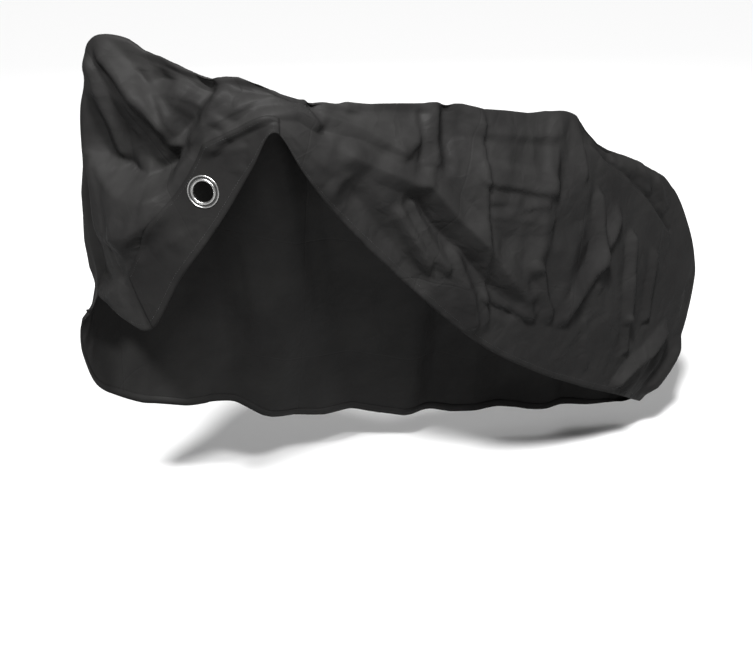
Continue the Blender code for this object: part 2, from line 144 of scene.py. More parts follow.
# ---- materials ---------------------------------------------------------------------------------
CLOTH_MAP = "Cloth"         # the UV map that holds the cloth's own coordinates
WEAVE_SCALE = 260.0         # threads 1.2 mm apart
BUMPS = {"weave": (0.25, 0.0001), "crumple": (0.18, 0.003)}    # strength and distance, metres
CREASE_DISTANCE = 0.0035
CREASE_CELLS = ((11.0, 0.30, 1.0), (27.0, 0.34, 0.42))         # scale, reach and height
CREASE_WANDER = 0.10
CREASE_FADE = (0.36, 0.64)  # noise at which a crease is a full groove and a full ridge
FAR_CREASES = 0.25          # how strong the creases are on the far side
FAR_BLEND = (-0.06, 0.04)   # metres down from the ridge between which they weaken
PRESSED_STEP = 0.36         # the grid of creases from the bag
PRESSED_DEPTH = -0.15       # their height, as a share of the other creases'
PRESSED_STARTS = {"X": 0.02, "Y": 0.0}
PRESSED_WIDTH = 0.0035
CLOTH_SPECULAR = 0.06
RUBBED = 0.06               # how far rubbing changes the cloth's roughness
METAL_WORN = 0.82           # worn metal's colour, as a share of the bright colour
METAL_RUBBED = (0.7, 1.6)   # its least and most roughness, as shares

# ---- camera: the place and angle of the view ---------------------------------------------------
IMAGE_WIDTH = 753
IMAGE_HEIGHT = 652
FOCAL_PIXELS = 1326.8
SENSOR_WIDTH = 36.0
VIEW_CENTRE = (375.9, 323.3)       # where the view's axis meets the image
VIEW_AZIMUTH = -28.86
VIEW_ELEVATION = 26.13
VIEW_ROLL = 1.385
VIEW_DISTANCE = 2.77
VIEW_TARGET = (10, 0, 421)         # millimetres over the ground

# ---- studio ------------------------------------------------------------------------------------
FLOOR_HALF = 14.0
FLOOR_LIT = (0.35, 0.35, 0.35, 1)      # what the cloth sees of the floor
FLOOR_SEEN = (0.93, 0.93, 0.93, 1)     # what the camera sees of it
SKY_LIGHT = 0.14                       # the white world's strength for all but the camera
KEY_FROM = (-0.55, -0.52, 1.00)        # the direction that the key light comes from
KEY_POWER = 3.5
KEY_ANGLE = math.radians(7)
AreaLight = namedtuple("AreaLight", "name place aim size power")
AREA_LIGHTS = [
    AreaLight("soft box", (-0.78, -1.10, 1.30), (0.0, -0.15, -0.15), 0.35, 43),
    AreaLight("back fill", (0.9, 2.4, 1.1), (0.1, 0.1, -0.3), 1.6, 34),
]

# ---- the drape: ribs from nose to tail, millimetres --------------------------------------------
Rib = namedtuple("Rib", "name ridge near_belly near_hem far_belly far_hem")
RIBS = [
    Rib("nose hem", (-560, 48, 580), (-557, 34, 577), (-552, 20, 574),
        (-566, 60, 563), (-573, 74, 545)),
    Rib("nose low", (-556, 48, 674), (-556, 0, 618), (-540, -45, 566),
        (-560, 82, 585), (-584, 102, 488)),
    Rib("nose middle", (-560, 50, 829), (-544, -42, 700), (-512, -115, 572),
        (-548, 96, 620), (-580, 114, 425)),
    Rib("nose top", (-558, 47, 960), (-526, -72, 815), (-470, -160, 680),
        (-535, 106, 640), (-548, 122, 340)),
    Rib("peak", (-547, 22, 1066), (-485, -105, 915), (-430, -188, 752),
        (-498, 98, 660), (-475, 126, 290)),
    Rib("bar end", (-490, -30, 1070), (-447, -140, 945), (-395, -208, 815),
        (-445, 80, 640), (-380, 130, 262)),
    Rib("bar", (-421, -120, 1030), (-392, -195, 970), (-360, -235, 895),
        (-355, 30, 620), (-288, 130, 238)),
    Rib("stem", (-325, -220, 1019), (-329, -248, 990), (-331, -260, 958),
        (-250, -20, 580), (-190, 145, 185)),
    Rib("stem rear", (-227, -215, 980), (-252, -250, 930), (-270, -245, 870),
        (-150, -20, 550), (-80, 160, 142)),
    Rib("tube front", (-62, -200, 957), (-125, -236, 865), (-185, -222, 760),
        (0, -10, 520), (60, 158, 112)),
    Rib("tube rear", (110, -185, 930), (45, -228, 765), (-24, -202, 588),
        (155, 0, 500), (200, 148, 85)),
    Rib("saddle", (282, -160, 890), (215, -222, 660), (146, -190, 428),
        (330, 10, 470), (360, 120, 62)),
    Rib("saddle rear", (368, -149, 865), (352, -206, 590), (300, -172, 323),
        (460, 10, 430), (490, 95, 50)),
    Rib("wheel top", (563, -100, 731), (520, -160, 490), (430, -150, 248),
        (600, 10, 380), (580, 78, 43)),
    Rib("wheel rear", (735, -60, 605), (655, -120, 400), (530, -128, 195),
        (735, 10, 310), (640, 60, 40)),
    Rib("tail high", (822, -50, 430), (735, -96, 285), (600, -110, 158),
        (790, 5, 220), (685, 45, 40)),
    Rib("tail low", (812, -50, 258), (745, -78, 185), (655, -85, 123),
        (785, 0, 140), (715, 25, 48)),
    Rib("tail hem", (738, -50, 118), (716, -60, 107), (695, -65, 98),
        (733, -30, 94), (722, -12, 72)),
]

# A fold runs along a path of (rib, drop) points; drop is the share of the rib's side, positive on
# the near side and negative on the far side. Its flanks reach out to its left and its right, as
# one who walks the path on the outside sees them, and its crest is rounded by its edge, all in
# millimetres. A trough's height is negative.
Fold = namedtuple("Fold", "name path left right height edge")
FOLDS = [
    # the nose, where the cloth hangs from the far end of the handlebar
    Fold("ridge from the peak",
         [(4, 0.09), (4.07, 0.24), (4.23, 0.38), (4.27, 0.54)],
         36, 20, 22, 3),
    Fold("line beside it", [(4.67, 0.19), (4.57, 0.34), (4.3, 0.53)], 12, 14, -8, 2),
    Fold("hollow under the peak",
         [(2.8, 0.27), (3.07, 0.42), (3.33, 0.52), (3.63, 0.57), (3.97, 0.61)],
         124, 40, -50, 5),
    Fold("nose edge ridge",
         [(3.6, 0.06), (3.43, 0.12), (3.23, 0.22), (2.97, 0.27)],
         20, 38, 17, 3),
    Fold("nose edge ridge low", [(2.23, 0.12), (2.03, 0.29), (1.93, 0.52)], 18, 40, 8, 4),
    Fold("nose edge trough",
         [(3.37, 0.04), (2.83, 0.1), (2.13, 0.18), (1.77, 0.38)],
         20, 20, -3, 5),
    Fold("nose foot hollow", [(0.8, -0.02), (0.57, -0.02), (0.97, 0.4)], 100, 30, -16, 10),
    Fold("light facet ridge",
         [(3.37, 0.54), (3.3, 0.63), (2.97, 0.66), (2.43, 0.6)],
         24, 56, 12, 3),
    Fold("light patch swell", [(2.13, 0.46), (2.67, 0.62), (3.13, 0.7)], 100, 26, 15, 4),
    Fold("pleat over the band", [(3.5, 0.56), (3.87, 0.62), (4.27, 0.69)], 26, 26, -7, 3),
    Fold("pocket right trough", [(6.03, 0.2), (5.37, 0.44), (4.6, 0.53)], 16, 34, -14, 2),
    Fold("pocket right ridge", [(6.13, 0.26), (5.67, 0.48), (4.97, 0.58)], 34, 16, 15, 3),
    Fold("pillow of the pocket", [(5.37, 0.27), (4.87, 0.4), (4.5, 0.48)], 34, 24, 9, 8),
    Fold("tuck under the bar", [(5.2, 0.18), (5.77, 0.12), (6.13, 0.15)], 20, 32, -12, 3),
    # bunched cloth over the bar and the stem
    Fold("roll over the opening",
         [(5.17, 0.7), (5.93, 0.64), (6.67, 0.66), (7.57, 0.26), (7.97, 0.3)],
         24, 13, 14, 3),
    Fold("second roll", [(5.9, 0.52), (6.53, 0.38), (7.1, 0.15), (7.63, 0.06)], 22, 14, 8, 3),
    Fold("slit beside the band", [(5.77, 0.69), (5.23, 0.73)], 14, 12, -8, 2),
    # creases across the band
    Fold("band crease one", [(5.47, 0.7), (6.07, 0.82)], 9, 9, 2.5, 1),
    Fold("band crease two", [(5.3, 0.8), (5.7, 0.91)], 9, 9, 2.5, 1),
    Fold("band crease three", [(6.13, 0.79), (5.87, 0.92)], 9, 9, -2.5, 1),
    Fold("band crease four", [(2.5, 0.72), (3.2, 0.83), (3.93, 0.91)], 10, 9, 3, 1),
    Fold("band crease five", [(4.03, 0.84), (4.17, 0.92)], 9, 9, -1.5, 1),
    Fold("nip behind the stem", [(7.87, 0.04), (8.07, 0.3)], 28, 20, -10, 3),
    # the side between stem and saddle
    Fold("collar ridge", [(8.1, 0.17), (8.6, 0.23), (9.2, 0.35)], 30, 22, 12, 3),
    Fold("collar ridge two", [(8.37, 0.05), (8.9, 0.16), (9.3, 0.27)], 24, 18, 9, 3),
    Fold("sling fold", [(8.6, 0.52), (9.1, 0.52), (9.53, 0.5)], 34, 26, 14, 3),
    Fold("strip crease", [(9.3, 0.07), (9.47, 0.35)], 12, 12, -6, 2),
    Fold("strip ridge", [(9.47, 0.06), (9.63, 0.34)], 16, 34, 10, 2),
    Fold("groove", [(9.6, 0.04), (9.8, 0.34)], 20, 20, -10, 2),
    Fold("patch trough", [(9.73, 0.18), (10.1, 0.16)], 46, 40, -10, 3),
    Fold("upright pleat",
         [(10.1, 0.08), (10.2, 0.26), (10.33, 0.43), (10.47, 0.59), (10.73, 0.78), (10.9, 0.88)],
         9, 56, 12, 2),
    Fold("upper band ridge", [(10.2, 0.13), (10.63, 0.11), (11.23, 0.09)], 44, 16, 7, 2),
    Fold("light wedge ridge", [(10.27, 0.27), (10.7, 0.25), (11.27, 0.25)], 10, 26, 5, 2),
    Fold("slanting ridge", [(10.3, 0.35), (10.73, 0.32), (11.27, 0.3)], 44, 12, 11, 2),
    Fold("crumple one", [(10.4, 0.42), (10.73, 0.38)], 18, 12, 5, 2),
    Fold("crumple two", [(10.67, 0.43), (11.17, 0.35)], 18, 10, 8, 2),
    Fold("crumple three", [(10.47, 0.48), (11, 0.42)], 16, 10, 6, 2),
    Fold("grey facet", [(10.47, 0.52), (11.27, 0.41)], 40, 30, 7, 2),
    Fold("zigzag",
         [(11.4, 0.06), (11.4, 0.14), (11.33, 0.22), (11.17, 0.3),
          (11.2, 0.38), (11.3, 0.51), (11.27, 0.58)],
         34, 34, 13, 3),
    Fold("saddle corner ridge", [(12.03, 0.07), (12.07, 0.18)], 13, 42, 12, 2),
    # the long diagonal and the fan of ridges below the stem
    Fold("diagonal ridge",
         [(9.63, 0.48), (10.07, 0.56), (10.57, 0.61), (11.1, 0.7), (11.33, 0.73)],
         34, 46, 20, 3),
    Fold("diagonal trough",
         [(9.6, 0.62), (9.97, 0.68), (10.4, 0.72), (10.9, 0.78), (11.2, 0.79)],
         46, 36, -21, 5),
    Fold("fan ridge one", [(9.5, 0.69), (9.83, 0.79), (10, 0.83)], 11, 26, 18, 3),
    Fold("fan ridge two", [(9.6, 0.62), (9.9, 0.72), (10.2, 0.79)], 11, 24, 18, 3),
    Fold("fan ridge three", [(10.27, 0.72), (10.57, 0.83), (10.77, 0.92)], 12, 30, 19, 3),
    Fold("spike one", [(10.77, 0.81), (11.1, 0.8), (11.5, 0.79)], 26, 10, 15, 2),
    Fold("spike two", [(11.4, 0.59), (11.6, 0.68), (11.8, 0.75)], 15, 30, 16, 2),
    Fold("valley by the hem", [(8.87, 0.8), (9.5, 0.89), (10, 0.96)], 40, 40, -20, 10),
    Fold("hem swell", [(8.63, 0.86), (9.43, 0.96), (10, 1)], 28, 26, 8, 8),
    # over the saddle, the rear wheel and the tail
    Fold("saddle to wheel ridge",
         [(12.33, 0.07), (12.57, 0.1), (13.03, 0.12), (13.83, 0.2)],
         12, 54, 12, 2),
    Fold("wheel line", [(12.43, 0.06), (12.63, 0.08), (13.13, 0.1), (13.97, 0.17)], 10, 10, -9, 2),
    Fold("wheel swell", [(12.77, 0.05), (13.3, 0.04), (13.77, 0.09)], 20, 16, 8, 3),
    Fold("tail edge swell", [(15.77, 0.38), (16.2, 0.32), (16.33, 0.62)], 40, 40, 20, 8),
    Fold("rear upright one", [(12.4, 0.24), (12.5, 0.48)], 13, 30, 16, 2),
    Fold("leaning ridge",
         [(12.7, 0.29), (12.53, 0.43), (12.37, 0.57), (12.13, 0.74)],
         18, 38, 16, 2),
    Fold("rear upright two", [(13.07, 0.32), (13.17, 0.47), (13.4, 0.64)], 14, 28, 16, 2),
    Fold("rear upright three", [(13.6, 0.34), (13.73, 0.47), (13.97, 0.6)], 13, 24, 14, 2),
    Fold("lower upright one", [(13.4, 0.65), (13.83, 0.78)], 12, 18, 11, 2),
    Fold("lower upright two", [(12.53, 0.73), (12.97, 0.91)], 12, 16, 6, 2),
    Fold("tail ridge",
         [(14.67, 0.57), (14.57, 0.72), (14.37, 0.82), (14.27, 0.93)],
         20, 34, 20, 3),
    Fold("tail trough", [(14.63, 0.38), (14.57, 0.53)], 26, 26, -8, 6),
    Fold("wheel crumple one", [(12.63, 0.06), (12.83, 0.1)], 22, 10, 9, 2),
    Fold("wheel crumple two", [(13.07, 0.03), (13.27, 0.09)], 22, 10, 9, 2),
    Fold("wheel crumple three", [(13.4, 0.04), (13.67, 0.13)], 22, 10, 9, 2),
    # lumps over the bar and the wheel
    Fold("bar lobe one", [(4.75, 0.03), (4.95, 0.12)], 40, 40, 7, 8),
    Fold("bar lobe two", [(5.6, 0.05), (5.8, 0.13)], 36, 36, 8, 8),
    Fold("bar lobe three", [(6.35, 0.08), (6.45, 0.28)], 36, 36, 8, 6),
    Fold("dip between lobes", [(5.25, -0.04), (5.3, 0.14)], 34, 34, -9, 6),
    Fold("dip behind the saddle", [(12.25, 0.0), (12.6, 0.0)], 60, 60, -22, 16),
    Fold("slack over the wheel", [(13.0, 0.0), (13.6, 0.0)], 50, 50, 14, 8),
    Fold("peak swell", [(3.9, 0.0), (4.2, 0.0)], 50, 50, 7, 8),
    Fold("nose swell", [(1.9, -0.1), (1.6, -0.26)], 70, 70, 11, 8),
    Fold("nose notch", [(1.24, -0.54), (1.04, -0.69)], 40, 40, -15, 8),
    # the far side, which hangs in slow folds between the bar, the saddle and the hem
    Fold("far fold one", [(3.5, -0.1), (3.7, -0.6), (3.5, -0.99)], 66, 66, 15, 10),
    Fold("far trough one", [(4.4, -0.12), (4.9, -0.6), (5.1, -0.99)], 64, 64, -16, 16),
    Fold("far fold two", [(5.7, -0.06), (6.1, -0.5), (6.4, -0.99)], 70, 70, 19, 8),
    Fold("far trough two", [(7.0, -0.15), (7.4, -0.6), (7.2, -0.99)], 74, 74, -17, 18),
    Fold("far fold three", [(7.9, -0.04), (8.4, -0.45), (8.9, -0.99)], 70, 70, 18, 8),
    Fold("far trough three", [(9.0, -0.1), (9.6, -0.55), (9.9, -0.99)], 70, 70, -18, 16),
    Fold("far fold four", [(10.2, -0.22), (10.3, -0.6), (10.2, -0.99)], 64, 64, 15, 8),
    Fold("far fold five", [(11.2, -0.14), (11.1, -0.5), (11.4, -0.99)], 66, 66, 16, 7),
    Fold("far trough four", [(11.8, -0.1), (12.1, -0.6), (12.3, -0.97)], 66, 66, -16, 16),
    Fold("far slant", [(9.9, -0.2), (11.0, -0.34), (12.4, -0.5)], 54, 54, 11, 6),
    Fold("far slant two", [(7.6, -0.06), (8.8, -0.24), (10.4, -0.3)], 50, 50, 10, 6),
    Fold("far fold six", [(13.0, -0.1), (12.9, -0.5), (13.0, -0.95)], 62, 62, 14, 8),
    Fold("far trough five", [(13.8, -0.15), (13.8, -0.8)], 60, 60, -11, 14),
    Fold("far fold seven", [(14.6, -0.2), (14.7, -0.9)], 50, 50, 11, 8),
]


# ---- the draped surface ------------------------------------------------------------------------
def to_frame(point_mm):
    """A table point, from millimetres over the ground to metres in the part's frame."""
    return [value * MM - shift for value, shift in zip(point_mm, SADDLE)]


def column(name):
    """One column of the rib table as an array of points."""
    return np.array([to_frame(getattr(rib, name)) for rib in RIBS])


def along(points, rib):
    """Points of a smooth curve through a column of the table, at the given rib numbers."""
    last = len(points) - 1
    low = np.clip(np.floor(rib).astype(int), 0, last - 1)
    f = (rib - low)[..., None]
    before = points[np.clip(low - 1, 0, last)]
    here = points[low]
    there = points[low + 1]
    after = points[np.clip(low + 2, 0, last)]
    slope_in = (there - before) / 2
    slope_out = (after - here) / 2
    return (here * (2 * f**3 - 3 * f**2 + 1) + there * (3 * f**2 - 2 * f**3)
            + slope_in * (f**3 - 2 * f**2 + f) + slope_out * (f**3 - f**2))


def rib_side(ridge, belly, hem, drop):
    """One side of a rib: the parabola from the ridge through the belly to the hem."""
    t = drop[..., None]
    return ridge * (1 - t) * (1 - 2 * t) + belly * 4 * t * (1 - t) + hem * t * (2 * t - 1)


def smooth(x):
    """A soft step from 0 to 1."""
    x = np.clip(x, 0, 1)
    return x * x * (3 - 2 * x)


def drape(rib, drop):
    """The smooth draped surface, before its folds."""
    ridge = along(column("ridge"), rib)
    near = rib_side(ridge, along(column("near_belly"), rib), along(column("near_hem"), rib), drop)
    far = rib_side(ridge, along(column("far_belly"), rib), along(column("far_hem"), rib), -drop)
    share = smooth((drop + CREST) / (2 * CREST))[..., None]
    return near * share + far * (1 - share)


def outward(rib, drop):
    """Unit normals of the draped surface, pointing out of the cover."""
    before = np.clip(rib - NORMAL_STEP, 0, len(RIBS) - 1)
    after = np.clip(rib + NORMAL_STEP, 0, len(RIBS) - 1)
    along_rib = drape(after, drop) - drape(before, drop)
    along_drop = drape(rib, drop + NORMAL_STEP) - drape(rib, drop - NORMAL_STEP)
    normal = np.cross(along_drop, along_rib)
    return normal / np.linalg.norm(normal, axis=-1, keepdims=True)


def beside_path(points, path, normals):
    """How far each point is from a polyline, and its side: 1 on the left of one who walks along it
    on the outside, -1 on the right, and between the two beyond its ends."""
    best = np.full(points.shape[:-1], np.inf)
    side = np.zeros_like(best)
    for start, end in zip(path[:-1], path[1:]):
        run = end - start
        share = np.clip(((points - start) @ run) / max(run @ run, TINY), 0, 1)
        off = points - start - share[..., None] * run
        away = np.linalg.norm(off, axis=-1)
        turn = (np.cross(run, off) * normals).sum(axis=-1)
        turn /= np.maximum(np.linalg.norm(run) * away, TINY)
        side = np.where(away < best, turn, side)
        best = np.minimum(best, away)
    return best, side


def fold_height(fold, points, drop, normals):
    """How far one fold lifts each point of the draped surface, in metres."""
    ribs, drops = np.array(fold.path).T
    away, side = beside_path(points, drape(ribs, drops), normals)
    reach = (fold.right + (fold.left - fold.right) * smooth(0.5 + side / END_TURN)) * MM
    flank = np.clip(1 - np.hypot(away, fold.edge * MM) / reach, 0, 1)
    facing = smooth(0.5 + drop * np.sign(drops.sum()) / CREST)
    return fold.height * MM * flank**FLANK * facing


def folded(rib, drop):
    """The draped surface with its folds."""
    points, normals = drape(rib, drop), outward(rib, drop)
    height = sum(fold_height(fold, points, drop, normals) for fold in FOLDS)
    return points + normals * height[..., None]


def ridge_lift(rib, drop):
    """How far the cloth by the ridge stands above the ribs' smooth line, in metres."""
    ribs, lifts = np.array(RIDGE_LIFTS).T
    return np.interp(rib, ribs, lifts) * MM * smooth(1 - np.abs(drop) / RIDGE_FADE)


def eyelet_frame():
    """Centre and outward direction of the eyelet, on the middle of the band's cloth."""
    rib = np.array([EYELET_RIB])
    seam, length = seam_drop(rib)
    drop = seam + EYELET_SEAM / length
    normal = outward(rib, drop)[0]
    return folded(rib, drop)[0] + normal * BAND_LIFT, normal


def stiffened(points, lift):
    """Points near the eyelet are pressed flat, onto a plane that lies lower by the lift."""
    centre, normal = eyelet_frame()
    offset = points - centre
    across = offset @ normal
    radius = np.linalg.norm(offset - across[..., None] * normal, axis=-1)
    share = 1 - smooth((radius - STIFF_RADIUS) / STIFF_BLEND)
    share *= np.abs(across) < STIFF_RADIUS
    return points - normal * (share * (across + lift))[..., None]


# ---- the grid of the cloth ---------------------------------------------------------------------
def rib_numbers():
    """Where the grid's columns stand: even steps inside each gap between two ribs."""
    numbers = []
    belly, ridge = column("near_belly"), column("ridge")
    for i in range(len(RIBS) - 1):
        gap = max(np.linalg.norm(line[i + 1] - line[i]) for line in (belly, ridge))
        steps = 2 * max(2, math.ceil(gap / COLUMN / 2))
        numbers += [i + k / steps for k in range(steps)]
    return np.array(numbers + [len(RIBS) - 1])


def seam_drop(ribs):
    """Where the band's seam runs, as a share of each rib's near side, and that side's length."""
    drops = np.linspace(0, 1, SEAM_STEPS + 1)
    rib, drop = np.meshgrid(ribs, drops, indexing="ij")
    length = np.linalg.norm(np.diff(drape(rib, drop), axis=1), axis=-1).sum(axis=1)
    return np.clip(1 - BAND_WIDTH / length, SEAM_HIGHEST, SEAM_LOWEST), length


def near_grid(ribs):
    """Rib and drop of the near side's grid; row NEAR_ROWS is the band's seam."""
    seam, length = seam_drop(ribs)
    rows = [seam * k / NEAR_ROWS for k in range(NEAR_ROWS + 1)]
    tuck = np.minimum(seam + BAND_OVERLAP / length, 1 - 2 * SEAM_MARGIN)
    rows += [tuck + (1 - tuck) * k / BAND_ROWS for k in range(BAND_ROWS + 1)]
    drop = np.stack(rows, axis=1)
    return np.broadcast_to(ribs[:, None], drop.shape), drop


def cloth_grid():
    """Rib and drop of the whole cloth's grid, from the far hem over the ridge to the near hem."""
    ribs = rib_numbers()
    rib, drop = near_grid(ribs)
    far_drop = np.broadcast_to(-np.arange(FAR_ROWS, 0, -1) / FAR_ROWS, (len(ribs), FAR_ROWS))
    rib = np.concatenate([np.broadcast_to(ribs[:, None], far_drop.shape), rib], axis=1)
    drop = np.concatenate([far_drop, drop], axis=1)
    return ribs, rib, drop


def cloth_places(points):
    """The cloth's own coordinates of a grid of points, in metres: along the cover, by the middle
    of its near side, and down from the ridge, negative on the far side."""
    middle = points[:, FAR_ROWS + NEAR_ROWS // 2]
    run = np.concatenate([[0], np.linalg.norm(np.diff(middle, axis=0), axis=-1).cumsum()])
    steps = np.linalg.norm(np.diff(points, axis=1), axis=-1).cumsum(axis=1)
    down = np.concatenate([np.zeros((len(points), 1)), steps], axis=1)
    down -= down[:, FAR_ROWS, None]
    return np.broadcast_to(run[:, None], down.shape), down


def facets(u, v, crumple):
    """Heights, between -1 and 1, of flat triangles between scattered points of the cloth."""
    rng = np.random.default_rng(crumple.seed)
    u, v = u / crumple.spacing, v / (crumple.spacing * crumple.stretch)
    first = [math.floor(w.min()) - 1 for w in (u, v)]
    last = [math.ceil(w.max()) + 2 for w in (u, v)]
    grid = np.mgrid[first[0]:last[0], first[1]:last[1]]
    scatter = rng.uniform(-FACET_SCATTER, FACET_SCATTER, (grid[0].size, 2))
    places = grid.reshape(2, -1).T + scatter
    heights = rng.uniform(-1, 1, len(places))
    verts, _, faces, *_ = delaunay_2d_cdt([Vector(p) for p in places], [], [], 0, SAME_CORNER)
    order = [int(np.argmin(np.hypot(*(places - np.array(p)).T))) for p in verts]
    height = np.zeros_like(u)
    for face in faces:
        a, b, c = (places[order[n]] for n in face)
        low, high = np.minimum.reduce([a, b, c]), np.maximum.reduce([a, b, c])
        near = (u >= low[0]) & (u <= high[0]) & (v >= low[1]) & (v <= high[1])
        area = (b[0] - a[0]) * (c[1] - a[1]) - (c[0] - a[0]) * (b[1] - a[1])
        if not near.any() or abs(area) < TINY:
            continue
        x, y = u[near], v[near]
        share_b = ((x - a[0]) * (c[1] - a[1]) - (c[0] - a[0]) * (y - a[1])) / area
        share_c = ((b[0] - a[0]) * (y - a[1]) - (x - a[0]) * (b[1] - a[1])) / area
        inside = (share_b >= -TINY) & (share_c >= -TINY) & (share_b + share_c <= 1 + TINY)
        ha, hb, hc = (heights[order[n]] for n in face)
        values = height[near]
        values[inside] = (ha + share_b * (hb - ha) + share_c * (hc - ha))[inside]
        height[near] = values
    return height


def soften(values):
    """A grid of values with its creases rounded off."""
    padded = np.pad(values, 1, mode="edge")
    across = (padded[:-2] + 2 * padded[1:-1] + padded[2:]) / 4
    return (across[:, :-2] + 2 * across[:, 1:-1] + across[:, 2:]) / 4


def crumpled(rib, drop, points):
    """How far each point of the grid moves where the cloth is crumpled: less by the ridge, the
    hems, the ends, the band and the eyelet, and less on the far side."""
    u, v = cloth_places(points)
    height = sum(crumple.height * facets(u, v, crumple) for crumple in CRUMPLES)
    centre = eyelet_frame()[0]
    free = smooth(np.linalg.norm(points - centre, axis=-1) / STIFF_RADIUS - 1)
    free *= RIDGE_CRUMPLE + (1 - RIDGE_CRUMPLE) * smooth(np.abs(drop) / CRUMPLE_FADE)
    free *= HEM_CRUMPLE + (1 - HEM_CRUMPLE) * smooth((1 - np.abs(drop)) / CRUMPLE_FADE)
    near = 1 - BAND_CALM * smooth((drop - BAND_CALM_START) / CRUMPLE_FADE)
    free *= np.where(drop < 0, FAR_CRUMPLE, near)
    free *= smooth(np.minimum(rib, len(RIBS) - 1 - rib))
    return outward(rib, drop) * (soften(height) * free)[..., None]


# ---- meshes ------------------------------------------------------------------------------------
def add_object(name, data):
    """A new object in the scene."""
    obj = bpy.data.objects.new(name, data)
    bpy.context.scene.collection.objects.link(obj)
    return obj


def smooth_object(name, verts, faces, mat):
    """An object with a smooth-shaded mesh of one material."""
    mesh = bpy.data.meshes.new(name)
    mesh.from_pydata([tuple(v) for v in verts], [], faces)
    mesh.shade_smooth()
    mesh.materials.append(mat)
    return add_object(name, mesh)


def all_cells(points):
    """A mask that keeps every cell of a grid of points."""
    return np.ones((points.shape[0] - 1, points.shape[1] - 1), dtype=bool)


def sheet_object(name, points, keep, uv):
    """A sheet of quads over a grid of points, with the cloth's own coordinates as its UV map."""
    rows = points.shape[1]
    cells_i, cells_j = np.nonzero(keep)
    a = cells_i * rows + cells_j
    faces = np.stack([a, a + 1, a + rows + 1, a + rows], axis=1)
    used, index = np.unique(faces, return_inverse=True)
    faces = index.reshape(faces.shape)
    mesh = bpy.data.meshes.new(name)
    mesh.vertices.add(len(used))
    mesh.vertices.foreach_set("co", points.reshape(-1, 3)[used].ravel())
    mesh.loops.add(faces.size)
    mesh.loops.foreach_set("vertex_index", faces.ravel())
    mesh.polygons.add(len(faces))
    mesh.polygons.foreach_set("loop_start", np.arange(0, faces.size, 4))
    mesh.polygons.foreach_set("use_smooth", np.ones(len(faces), dtype=bool))
    layer = mesh.uv_layers.new(name=CLOTH_MAP)
    layer.data.foreach_set("uv", uv.reshape(-1, 2)[used][faces.ravel()].ravel())
    mesh.update(calc_edges=True)
    mesh.validate()
    return add_object(name, mesh)


def apply_modifiers(obj):
    """Replaces an object's mesh by its evaluated mesh."""
    graph = bpy.context.evaluated_depsgraph_get()
    mesh = bpy.data.meshes.new_from_object(obj.evaluated_get(graph),
                                           preserve_all_data_layers=True, depsgraph=graph)
    obj.modifiers.clear()
    obj.data = mesh


def thicken(obj, thickness):
    """Gives a sheet its thickness, half to each side."""
    solidify = obj.modifiers.new("Cloth thickness", "SOLIDIFY")
    solidify.thickness = thickness
    solidify.offset = 0
    apply_modifiers(obj)


def clad(obj, mat):
    """Gives an object its one material."""
    obj.data.materials.clear()
    obj.data.materials.append(mat)


# ---- shader nodes ------------------------------------------------------------------------------
def principled(name):
    """A new material, with its node tree and its shader."""
    mat = bpy.data.materials.new(name)
    mat.use_nodes = True
    return mat, mat.node_tree, mat.node_tree.nodes["Principled BSDF"]


def add_node(tree, kind, vector=None, **inputs):
    """A shader node, linked to a vector's socket if there is one, with values for its other
    inputs; _ in an input's name stands for a space."""
    node = tree.nodes.new("ShaderNode" + kind)
    for name, value in inputs.items():
        node.inputs[name.replace("_", " ")].default_value = value
    if vector is not None:
        tree.links.new(vector, node.inputs["Vector"])
    return node


def math_node(tree, operation, first, second):
    """A maths node on a socket and a socket or a number."""
    node = tree.nodes.new("ShaderNodeMath")
    node.operation = operation
    tree.links.new(first, node.inputs[0])
    if isinstance(second, (int, float)):
        node.inputs[1].default_value = second
    else:
        tree.links.new(second, node.inputs[1])
    return node.outputs["Value"]


def mapped(tree, value, **ends):
    """A socket's value carried from one range to another."""
    node = add_node(tree, "MapRange", **ends)
    tree.links.new(value, node.inputs["Value"])
    return node.outputs["Result"]


def ramped(tree, value, dark, light, places=(0.0, 1.0)):
    """A colour that runs from dark to light with a socket's value."""
    node = add_node(tree, "ValToRGB")
    for element, place, colour in zip(node.color_ramp.elements, places, (dark, light)):
        element.position = place
        element.color = (*colour, 1)
    tree.links.new(value, node.inputs["Fac"])
    return node.outputs["Color"]


def bumped(tree, height, strength, distance, normal=None):
    """The normal after a bump map, on top of another one if there is one."""
    node = add_node(tree, "Bump", Strength=strength, Distance=distance)
    tree.links.new(height, node.inputs["Height"])
    if normal is not None:
        tree.links.new(normal, node.inputs["Normal"])
    return node.outputs["Normal"]


# ---- materials ---------------------------------------------------------------------------------
def crease_heights(tree, place):
    """Sharp creases where the cloth was crumpled: the borders of wandering cells, in two sizes,
    each fading in and out along its run."""
    wander = add_node(tree, "TexNoise", place, Scale=7.0, Detail=3.0)
    shift = add_node(tree, "VectorMath")
    shift.operation = "MULTIPLY_ADD"
    shift.inputs[1].default_value = (CREASE_WANDER,) * 3
    tree.links.new(wander.outputs["Color"], shift.inputs[0])
    tree.links.new(place, shift.inputs[2])
    total = None
    for scale, reach, height in CREASE_CELLS:
        cells = add_node(tree, "TexVoronoi", shift.outputs["Vector"], Scale=scale)
        cells.feature = "DISTANCE_TO_EDGE"
        rise = mapped(tree, cells.outputs["Distance"], From_Max=reach, To_Min=height, To_Max=0.0)
        fade = add_node(tree, "TexNoise", place, Scale=scale * 0.6, Detail=1.0).outputs["Fac"]
        signed = mapped(tree, fade, From_Min=CREASE_FADE[0], From_Max=CREASE_FADE[1],
                        To_Min=-1.0)
        layer = math_node(tree, "MULTIPLY", rise, signed)
        total = layer if total is None else math_node(tree, "ADD", total, layer)
    return total


